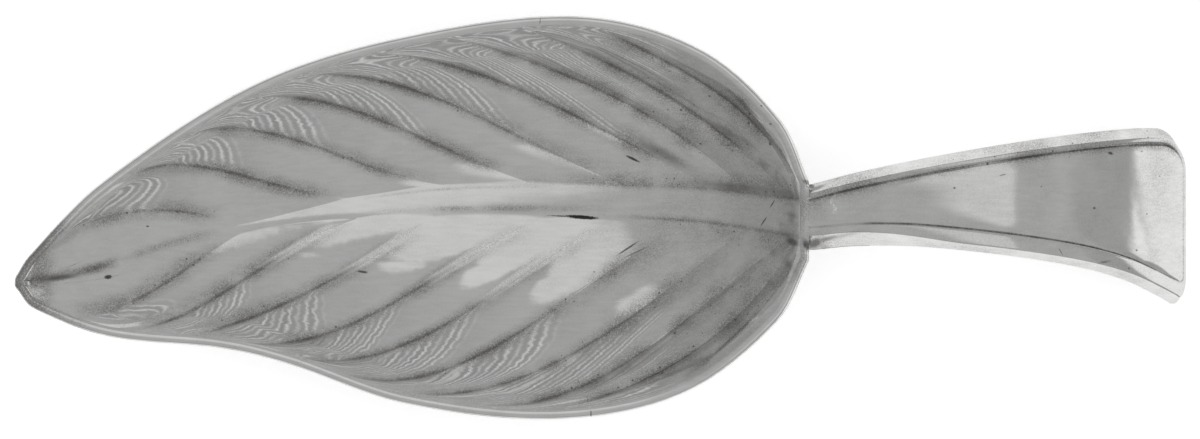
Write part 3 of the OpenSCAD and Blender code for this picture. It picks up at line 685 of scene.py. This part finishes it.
def silverFinish(name, marks):
    # Silver whose colour, roughness and relief follow the piece's own attributes, times grains and patches
    material = bpy.data.materials.new(name)
    material.use_nodes = True
    tree = material.node_tree
    tree.nodes.clear()
    place = addNode(tree, "ShaderNodeTexCoord").outputs["Object"]
    grain = addNode(tree, "ShaderNodeTexNoise", Vector=place, Scale=1 / (silver["grainEvery"] * mm), Detail=2.0,
                    Roughness=0.6)
    patches = addNode(tree, "ShaderNodeTexNoise", Vector=place, Scale=1 / (silver["patchEvery"] * mm), Detail=3.0)
    uneven = addNode(tree, "ShaderNodeMapRange", i0=patches, i1=0.3, i2=0.68, i3=0.25, i4=1.45)
    filmAndShade, groove, frost, rippled = (addNode(tree, "ShaderNodeAttribute", {"attribute_name": key}).outputs["Fac"]
                                    for key in ("filmAndShade", "groove", "frost", "ripple"))
    # The film and its painted shade are not even: grains of them stand close in the grooves and thin out at the edge
    cloud = addNode(tree, "ShaderNodeMapRange", i0=grain, i1=0.32, i2=0.68, i3=0.3, i4=1.25)
    cloudy = addNode(tree, "ShaderNodeMath", times, i0=cloud, i1=filmAndShade)
    patchy = addNode(tree, "ShaderNodeMath", times, i0=cloudy, i1=uneven)
    # The cloth has wiped it along the spoon, in streaks drawn coarser than real ones, so that they show
    along = addNode(tree, "ShaderNodeMapping", Vector=place, Scale=(0.12, 1, 1))
    brush = addNode(tree, "ShaderNodeTexNoise", Vector=along, Scale=1 / (silver["brushEvery"] * mm), Detail=2.0)
    wiped = addNode(tree, "ShaderNodeMapRange", i0=brush, i1=0.33, i2=0.67, i3=-silver["wiped"], i4=silver["wiped"])
    dull = addNode(tree, "ShaderNodeMath", {"operation": "ADD", "use_clamp": True}, i0=patchy, i1=wiped)
    # The dark line in each groove is broken up by the same grains
    broken = addNode(tree, "ShaderNodeMapRange", i0=grain, i1=0.32, i2=0.62, i3=0.35, i4=1.1)
    dark = addNode(tree, "ShaderNodeMath", times, i0=groove, i1=broken)
    darker = addNode(tree, "ShaderNodeMath", {"operation": "MULTIPLY", "use_clamp": True}, i0=dark, i1=uneven)
    # Single dark specks, one in each cell at most, larger where there is film
    cells = addNode(tree, "ShaderNodeTexVoronoi", Vector=place, Scale=1 / (silver["speckEvery"] * mm))
    size = addNode(tree, "ShaderNodeMath", times, i0=cells.outputs["Color"], i1=filmAndShade)
    edge = addNode(tree, "ShaderNodeMath", timesPlus, i0=size, i1=-silver["speckReach"] * 2,
                   i2=cells.outputs["Distance"])
    speck = addNode(tree, "ShaderNodeMapRange", i0=edge, i1=0.0, i2=-0.05)
    # Each pit, scratch and painted shadow spot is an ellipse, whose edge the grains make ragged
    ragged = addNode(tree, "ShaderNodeMath", timesPlus, i0=grain, i1=0.9, i2=-0.45)
    pitsAndShadows = 0.0
    for x, y, turn, halfLong, halfWide, depth in marks:
        seen = addNode(tree, "ShaderNodeMapping", {"vector_type": "TEXTURE"}, Vector=place,
                       Location=(x * mm, y * mm, 0), Rotation=(0, 0, math.radians(turn)),
                       Scale=(halfLong * mm, halfWide * mm, 1))
        away = addNode(tree, "ShaderNodeVectorMath", {"operation": "LENGTH"}, i0=seen)
        worn = addNode(tree, "ShaderNodeMath", timesPlus, i0=ragged, i1=4.0 - 3.0 * depth, i2=away.outputs["Value"])
        inMark = addNode(tree, "ShaderNodeMapRange", i0=worn, i1=1.15, i2=0.75 * depth, i3=0.0, i4=float(depth))
        pitsAndShadows = addNode(tree, "ShaderNodeMath", most, i0=pitsAndShadows, i1=inMark)
    # Over the polished silver lie the film with its painted shade, the lines, the specks, and the pits with the
    # painted shadow spots, in that order
    colour = linear(silver["polished"])
    for share, over in ((dull, "filmAndShade"), (darker, "tarnishAndShade"), (speck, "tarnishAndShade"), (pitsAndShadows, "pitAndShadow")):
        mixed = addNode(tree, "ShaderNodeMix", blendColour, i0=share, i6=colour, i7=linear(silver[over]))
        colour = mixed.outputs[2]
    blur = addNode(tree, "ShaderNodeMath", most, i0=dull, i1=frost)
    rough = addNode(tree, "ShaderNodeMath", timesPlus, i0=blur, i1=silver["filmRough"], i2=silver["roughness"])
    # Soft ripples left by the planishing hammer, and fine brushing along the spoon over them
    ripple = addNode(tree, "ShaderNodeTexNoise", Vector=place, Scale=1 / (silver["rippleEvery"] * mm), Detail=1.0)
    ripple = addNode(tree, "ShaderNodeMath", times, i0=ripple, i1=rippled)
    hammered = addNode(tree, "ShaderNodeBump", Strength=1.0, Distance=silver["rippleHigh"] * mm, Height=ripple)
    pecked = addNode(tree, "ShaderNodeMath", times, i0=grain, i1=frost)
    frosted = addNode(tree, "ShaderNodeBump", Strength=1.0, Distance=silver["frostHigh"] * mm, Height=pecked,
                      Normal=hammered)
    brushed = addNode(tree, "ShaderNodeBump", Strength=1.0, Distance=silver["brushHigh"] * mm, Height=brush,
                      Normal=frosted)
    # Dried polish, a chalky white, stays as grains in the frosted strips; on the solder's edge the same chalky white
    # is a painted highlight
    chalk = addNode(tree, "ShaderNodeMapRange", i0=grain, i1=0.42, i2=0.6, i3=0.0, i4=-silver["chalk"])
    bare = addNode(tree, "ShaderNodeMath", timesPlus, i0=chalk, i1=frost, i2=1.0)
    shader = addNode(tree, "ShaderNodeBsdfPrincipled", Metallic=bare, Roughness=rough, Base_Color=colour,
                     Normal=brushed)
    addNode(tree, "ShaderNodeOutputMaterial", Surface=shader)
    return material


finishes = {"leaf_bowl": (bowlPiece, silverFinish("raisedSilver", leafMarksAndShadows)),
            "handle": (handleShape, silverFinish("polishedSilver", handleMarksAndShadows))}
for node, (piece, finish) in finishes.items():
    piece.data.materials.append(finish)
    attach(piece, "root")
    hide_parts(node)
print("silver finished")

# The tent: the light that the silver mirrors, by its direction
tent = {
    "overhead": 0.447, "toTip": 0.03, "dusk": 0.09, "shade": 0.05, "panel": 0.665, "fold": 0.33,  # linear levels
    "wallLow": 0.92, "wallHigh": 0.95, "plain": 0.95,
    # Angles from straight up, in degrees, where each part begins and where it is full
    "duskOver": (28, 80), "shadeOver": (35, 39), "panelOver": (-2, 8.4), "foldStart": (54, 60), "foldEnd": (89, 85),
    "endWall": (47.8, 49.8), "wallRise": (48.8, 60), "sideWall": (87.5, 89.5), "foldEach": 3.7,
    # Shares of a direction that points x along the spoon and y across it
    "tipOver": (0.05, -0.05), "panelSlant": 0.49, "panelReach": (0.345, 0.622), "panelSoft": 0.075,
    "asideOver": (0.3, 0.55), "foldAhead": (-0.5, -0.25), "foldFaint": 0.45, "foldBeat": 0.37,
}


def buildTent():
    # The light from a direction is a grey roof, less what darkens it, plus a panel and folds, with white walls
    # over it. Each part comes in over a soft step of x, y or z of the direction.
    world = bpy.data.worlds.new("lightTent")
    bpy.context.scene.world = world
    world.use_nodes = True
    tree = world.node_tree
    tree.nodes.clear()

    def heights(angles):
        # z of directions at these angles from straight up, which is their cosines
        return [math.cos(math.radians(angle)) for angle in angles]

    def reaches(angles):
        # How far to the side the same directions point, which is their sines
        return [math.sin(math.radians(angle)) for angle in angles]

    direction = addNode(tree, "ShaderNodeTexCoord").outputs["Generated"]
    x, y, z = addNode(tree, "ShaderNodeSeparateXYZ", i0=direction).outputs
    side = addNode(tree, "ShaderNodeMath", {"operation": "ABSOLUTE"}, i0=y)
    # The panel is slanted on its near edge and round on its far one
    slant = addNode(tree, "ShaderNodeMath", timesPlus, i0=y, i1=tent["panelSlant"], i2=x)
    outX = addNode(tree, "ShaderNodeMath", times, i0=x, i1=1 / tent["panelReach"][0])
    outY = addNode(tree, "ShaderNodeMath", times, i0=y, i1=1 / tent["panelReach"][1])
    spread = addNode(tree, "ShaderNodeCombineXYZ", i0=outX, i1=outY)
    far = addNode(tree, "ShaderNodeVectorMath", {"operation": "LENGTH"}, i0=spread).outputs["Value"]
    # Folds of the cloth are thin light lines, one for every few degrees, some fainter than others
    angle = addNode(tree, "ShaderNodeMath", {"operation": "ARCCOSINE"}, i0=z)
    turns = addNode(tree, "ShaderNodeMath", times, i0=angle, i1=360 / tent["foldEach"])
    wave = addNode(tree, "ShaderNodeMath", sine, i0=turns)
    slowTurns = addNode(tree, "ShaderNodeMath", times, i0=turns, i1=tent["foldBeat"])
    slow = addNode(tree, "ShaderNodeMath", sine, i0=slowTurns)
    faint = addNode(tree, "ShaderNodeMapRange", i0=slow, i1=-1.0, i2=1.0, i3=tent["foldFaint"], i4=1.0)
    # Soft steps: what each reads, where it begins and is full, and its values there if not 0 and 1
    steps = {
        "slope": (x, *tent["tipOver"], 0.0, tent["toTip"]),
        "dusk": (z, *heights(tent["duskOver"]), 0.0, tent["dusk"]),
        "shade": (x, *reaches(tent["shadeOver"]), 0.0, tent["shade"]),
        "near": (slant, *reaches(tent["panelOver"])),
        "within": (far, 1.0, 1 - tent["panelSoft"]),
        "fold": (wave, 0.1, 0.95, -0.22, 1.0),
        "foldStart": (z, *heights(tent["foldStart"])),
        "foldEnd": (z, *heights(tent["foldEnd"])),
        "aside": (side, *tent["asideOver"]),
        "ahead": (x, *tent["foldAhead"], 0.0, tent["fold"]),
        "endWall": (x, *reaches(tent["endWall"])),
        "sideWall": (z, *heights(tent["sideWall"])),
    }
    inputs = ("i0", "i1", "i2", "i3", "i4")
    step = {key: addNode(tree, "ShaderNodeMapRange", soft, **dict(zip(inputs, row))) for key, row in steps.items()}
    # Overhead the tent is grey. It darkens slowly past the tip and down its sides.
    lean = addNode(tree, "ShaderNodeMath", times, i0=x, i1=step["slope"])
    roof = addNode(tree, "ShaderNodeMath", plus, i0=lean, i1=tent["overhead"])
    for key in ("dusk", "shade"):
        roof = addNode(tree, "ShaderNodeMath", minus, i0=roof, i1=step[key])
    # The panel is beside the opening for the lens, and the folds are lower down, on both sides
    onPanel = addNode(tree, "ShaderNodeMath", times, i0=step["near"], i1=step["within"])
    roof = addNode(tree, "ShaderNodeMix", blendLevel, i0=onPanel, i2=roof, i3=tent["panel"])
    fold = addNode(tree, "ShaderNodeMath", times, i0=step["fold"], i1=faint)
    for key in ("foldStart", "foldEnd", "aside", "ahead"):
        fold = addNode(tree, "ShaderNodeMath", times, i0=fold, i1=step[key])
    roof = addNode(tree, "ShaderNodeMath", plus, i0=roof, i1=fold)
    # White cloth hangs past the handle's end, and low down on both sides
    sideWall = addNode(tree, "ShaderNodeMath", times, i0=step["sideWall"], i1=step["aside"])
    white = addNode(tree, "ShaderNodeMath", most, i0=step["endWall"], i1=sideWall)
    wallTop, wallFoot = heights(tent["wallRise"])
    level = addNode(tree, "ShaderNodeMapRange", i0=z, i1=wallTop, i2=wallFoot, i3=tent["wallLow"],
                    i4=tent["wallHigh"])
    mirrored = addNode(tree, "ShaderNodeMix", blendLevel, i0=white, i2=roof, i3=level)
    # What is not mirrored gets one plain level from all round, and the camera sees plain white
    path = addNode(tree, "ShaderNodeLightPath")
    lit = addNode(tree, "ShaderNodeMix", blendLevel, i0=path.outputs["Is Diffuse Ray"], i2=mirrored,
                  i3=tent["plain"])
    strength = addNode(tree, "ShaderNodeMix", blendLevel, i0=path.outputs["Is Camera Ray"], i2=lit, i3=1.0)
    shine = addNode(tree, "ShaderNodeBackground", Color=linear("#FFFFFF"), Strength=strength)
    addNode(tree, "ShaderNodeOutputWorld", Surface=shine)


buildTent()
print("tent lit")

# A white paper floor. It gets a little light of its own where the camera sees it, so that it ends at white
# and still takes the spoon's shadow, and less of it where the silver mirrors it.
paper = {"reach": 3.0, "colour": "#F4F4F4", "glow": 0.36, "mirroredGlow": 0.16}
floorMesh = bpy.data.meshes.new("floor")
reach = paper["reach"]
corners = [(-reach, -reach, 0), (reach, -reach, 0), (reach, reach, 0), (-reach, reach, 0)]
floorMesh.from_pydata(corners, [], [(0, 1, 2, 3)])
floor = bpy.data.objects.new("floor", floorMesh)
bpy.context.scene.collection.objects.link(floor)
whitePaper = bpy.data.materials.new("whitePaper")
whitePaper.use_nodes = True
tree = whitePaper.node_tree
tree.nodes.clear()
path = addNode(tree, "ShaderNodeLightPath")
mirrored = addNode(tree, "ShaderNodeMath", times, i0=path.outputs["Is Glossy Ray"], i1=paper["mirroredGlow"])
extra = addNode(tree, "ShaderNodeMath", timesPlus, i0=path.outputs["Is Camera Ray"], i1=paper["glow"], i2=mirrored)
matt = addNode(tree, "ShaderNodeBsdfDiffuse", Color=linear(paper["colour"]))
glow = addNode(tree, "ShaderNodeEmission", Color=linear("#FFFFFF"), Strength=extra)
both = addNode(tree, "ShaderNodeAddShader", i0=matt, i1=glow)
addNode(tree, "ShaderNodeOutputMaterial", Surface=both)
floorMesh.materials.append(whitePaper)

# The camera looks straight down from far off. The frame is 92.19 mm wide at the rim's height.
view = {"frameWide": 92.19, "centreX": -0.096, "centreY": -0.134, "lens": 500, "sensor": 36, "clip": (0.1, 20)}
lens = bpy.data.cameras.new("camera")
lens.lens, lens.sensor_width = view["lens"], view["sensor"]
lens.clip_start, lens.clip_end = view["clip"]
camera = bpy.data.objects.new("camera", lens)
camera.location = (view["centreX"] * mm, view["centreY"] * mm,
                   home[2] * mm + view["frameWide"] * mm * view["lens"] / view["sensor"])
bpy.context.scene.collection.objects.link(camera)
bpy.context.scene.camera = camera
bpy.context.scene.view_settings.view_transform = "Standard"

print("scene ready")
